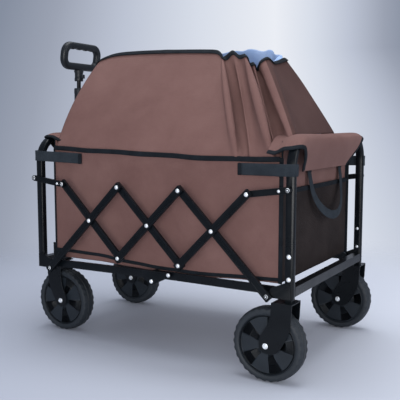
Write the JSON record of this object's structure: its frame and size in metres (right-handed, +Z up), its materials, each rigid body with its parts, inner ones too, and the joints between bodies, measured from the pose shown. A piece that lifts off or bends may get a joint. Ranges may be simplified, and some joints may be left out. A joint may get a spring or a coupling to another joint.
{
  "type": "folding utility wagon",
  "caption": "Folding cloth-sided utility wagon on swivel and fixed wheels, with scissor side frames, pull handle and a tall cloth extension above the tub.",
  "frame": {"origin": "centre of the overall box at ground level, under the wheels", "axes": "+X towards the end with the pocket and the fixed wheels, the pull handle at -X, +Y across to the far side, +Z up"},
  "size_m": [0.9984, 0.6384, 0.9568],
  "materials": {
    "black_steel": "gloss black powder coat",
    "zinc_bolt": "zinc plated",
    "black_plastic": "fine satin grain",
    "tyre": "matte rubber with tread lugs",
    "brown_cloth": "coated woven polyester, matte, black bound edges",
    "blue_lining": "thin smooth lining cloth",
    "black_mesh": "fine net over dark cloth",
    "webbing": "woven polyester webbing"
  },
  "bodies": {
    "root": {"rear_end_frame": "black_steel", "rear_fork_near": "black_steel", "rear_fork_far": "black_steel", "rear_axle_near": "zinc_bolt", "rear_axle_far": "zinc_bolt", "floor_panel": "brown_cloth", "side_panel_near": "brown_cloth", "side_panel_far": "brown_cloth", "rear_end_panel": "brown_cloth", "extension_skirt": "brown_cloth", "skirt_lining": "blue_lining", "rear_flap": "brown_cloth", "rear_pocket": "black_mesh", "carry_loop": "webbing", "rear_corner_strap_near": "webbing", "rear_corner_strap_far": "webbing"},
    "strut_1": {"scissor_strut_1_near": "black_steel", "scissor_strut_1_far": "black_steel"},
    "strut_2": {"scissor_strut_2_near": "black_steel", "scissor_strut_2_far": "black_steel"},
    "strut_3": {"scissor_strut_3_near": "black_steel", "scissor_strut_3_far": "black_steel"},
    "strut_4": {"scissor_strut_4_near": "black_steel", "scissor_strut_4_far": "black_steel"},
    "strut_5": {"scissor_strut_5_near": "black_steel", "scissor_strut_5_far": "black_steel"},
    "strut_6": {"scissor_strut_6_near": "black_steel", "scissor_strut_6_far": "black_steel"},
    "front_frame": {"front_end_frame": "black_steel", "caster_mount_near": "black_steel", "caster_mount_far": "black_steel", "handle_bracket": "black_steel", "front_flap": "brown_cloth", "front_end_panel": "brown_cloth", "front_corner_strap_near": "webbing", "front_corner_strap_far": "webbing"},
    "rear_link": {"rear_link_near": "black_steel", "rear_link_far": "black_steel"},
    "front_link": {"front_link_near": "black_steel", "front_link_far": "black_steel"},
    "rear_rail": {"rear_bottom_rails": "black_steel"},
    "front_rail": {"front_bottom_rail_near": "black_steel", "front_bottom_rail_far": "black_steel"},
    "rear_wheel_near": {"rear_tyre_near": "tyre", "rear_rim_near": "black_plastic"},
    "caster_near": {"caster_fork_near": "black_steel", "caster_axle_near": "zinc_bolt"},
    "front_wheel_near": {"front_tyre_near": "tyre", "front_rim_near": "black_plastic"},
    "rear_wheel_far": {"rear_tyre_far": "tyre", "rear_rim_far": "black_plastic"},
    "caster_far": {"caster_fork_far": "black_steel", "caster_axle_far": "zinc_bolt"},
    "front_wheel_far": {"front_tyre_far": "tyre", "front_rim_far": "black_plastic"},
    "handle": {"handle_outer_tube": "black_steel", "handle_collar": "black_plastic"},
    "handle_rod": {"handle_inner_tube": "black_steel", "handle_grip": "black_plastic"},
    "button": {"release_button": "black_plastic"}
  },
  "joints": [
    {"name": "fold", "type": "hinge", "parent": "root", "child": "strut_6", "pos_m": [0.39724, 0, 0.2289], "axis": [0, 1, 0], "range_deg": [0, 35], "deforming": ["floor_panel", "side_panel_near", "side_panel_far", "extension_skirt", "skirt_lining", "front_corner_strap_near", "front_corner_strap_far", "rear_corner_strap_near", "rear_corner_strap_far"]},
    {"name": "fold_strut_3", "type": "hinge", "parent": "strut_6", "child": "strut_3", "pos_m": [0.1342, 0, 0.49194], "axis": [0, 1, 0], "range_deg": [-70.01, 0]},
    {"name": "fold_strut_2", "type": "hinge", "parent": "strut_3", "child": "strut_2", "pos_m": [-0.07369, 0, 0.28405], "axis": [0, 1, 0], "range_deg": [0, 70.01]},
    {"name": "fold_strut_1", "type": "hinge", "parent": "strut_2", "child": "strut_1", "pos_m": [-0.17764, 0, 0.388], "axis": [0, 1, 0], "range_deg": [-70.01, 0]},
    {"name": "fold_front_frame", "type": "hinge", "parent": "strut_1", "child": "front_frame", "pos_m": [-0.33674, 0, 0.2289], "axis": [0, 1, 0], "range_deg": [0, 35.01]},
    {"name": "fold_strut_5", "type": "hinge", "parent": "strut_6", "child": "strut_5", "pos_m": [0.23814, 0, 0.388], "axis": [0, 1, 0], "range_deg": [-70.01, 0]},
    {"name": "fold_strut_4", "type": "hinge", "parent": "strut_3", "child": "strut_4", "pos_m": [0.03025, 0, 0.388], "axis": [0, 1, 0], "range_deg": [0, 70.01]},
    {"name": "fold_rear_link", "type": "hinge", "parent": "root", "child": "rear_link", "pos_m": [0.45324, 0, 0.50721], "axis": [0, 1, 0], "range_deg": [0, 59.52]},
    {"name": "fold_front_link", "type": "hinge", "parent": "front_frame", "child": "front_link", "pos_m": [-0.39274, 0, 0.50721], "axis": [0, 1, 0], "range_deg": [-59.52, 0]},
    {"name": "fold_rear_rail", "type": "hinge", "parent": "root", "child": "rear_rail", "pos_m": [0.40824, 0, 0.2415], "axis": [0, 1, 0], "range_deg": [0, 77.11]},
    {"name": "fold_front_rail", "type": "hinge", "parent": "front_frame", "child": "front_rail", "pos_m": [-0.34774, 0, 0.2415], "axis": [0, 1, 0], "range_deg": [-77.11, 0]},
    {"name": "rear_wheel_near_spin", "type": "hinge", "parent": "root", "child": "rear_wheel_near", "pos_m": [0.39924, -0.283, 0.1], "axis": [0, 1, 0], "continuous": true},
    {"name": "caster_near_swivel", "type": "hinge", "parent": "front_frame", "child": "caster_near", "pos_m": [-0.40274, -0.194, 0.2244], "axis": [0, 0, 1], "continuous": true},
    {"name": "front_wheel_near_spin", "type": "hinge", "parent": "caster_near", "child": "front_wheel_near", "pos_m": [-0.37674, -0.194, 0.1], "axis": [0, 1, 0], "continuous": true},
    {"name": "rear_wheel_far_spin", "type": "hinge", "parent": "root", "child": "rear_wheel_far", "pos_m": [0.39924, 0.283, 0.1], "axis": [0, 1, 0], "continuous": true},
    {"name": "caster_far_swivel", "type": "hinge", "parent": "front_frame", "child": "caster_far", "pos_m": [-0.40274, 0.194, 0.2244], "axis": [0, 0, 1], "continuous": true},
    {"name": "front_wheel_far_spin", "type": "hinge", "parent": "caster_far", "child": "front_wheel_far", "pos_m": [-0.37674, 0.194, 0.1], "axis": [0, 1, 0], "continuous": true},
    {"name": "handle_tilt", "type": "hinge", "parent": "front_frame", "child": "handle", "pos_m": [-0.48474, 0, 0.25], "axis": [0, -1, 0], "range_deg": [0, 95]},
    {"name": "handle_slide", "type": "slide", "parent": "handle", "child": "handle_rod", "axis": [0.0209, 0, 0.9998], "range_m": [-0.022, 0.2]},
    {"name": "button_press", "type": "slide", "parent": "handle_rod", "child": "button", "axis": [-0.9998, 0, 0.0209], "range_m": [0, 0.004], "stiffness_N_per_m": 400}
  ],
  "couplings": [
    {"joint": "fold_strut_3", "follows": "fold", "ratio": -2},
    {"joint": "fold_strut_2", "follows": "fold", "ratio": 2},
    {"joint": "fold_strut_1", "follows": "fold", "ratio": -2},
    {"joint": "fold_front_frame", "follows": "fold", "ratio": 1},
    {"joint": "fold_strut_5", "follows": "fold", "ratio": -2},
    {"joint": "fold_strut_4", "follows": "fold", "ratio": 2},
    {"joint": "fold_rear_link", "follows": "fold", "ratio": 1.7004},
    {"joint": "fold_front_link", "follows": "fold", "ratio": -1.7004},
    {"joint": "fold_rear_rail", "follows": "fold", "ratio": 2.203},
    {"joint": "fold_front_rail", "follows": "fold", "ratio": -2.203}
  ]
}
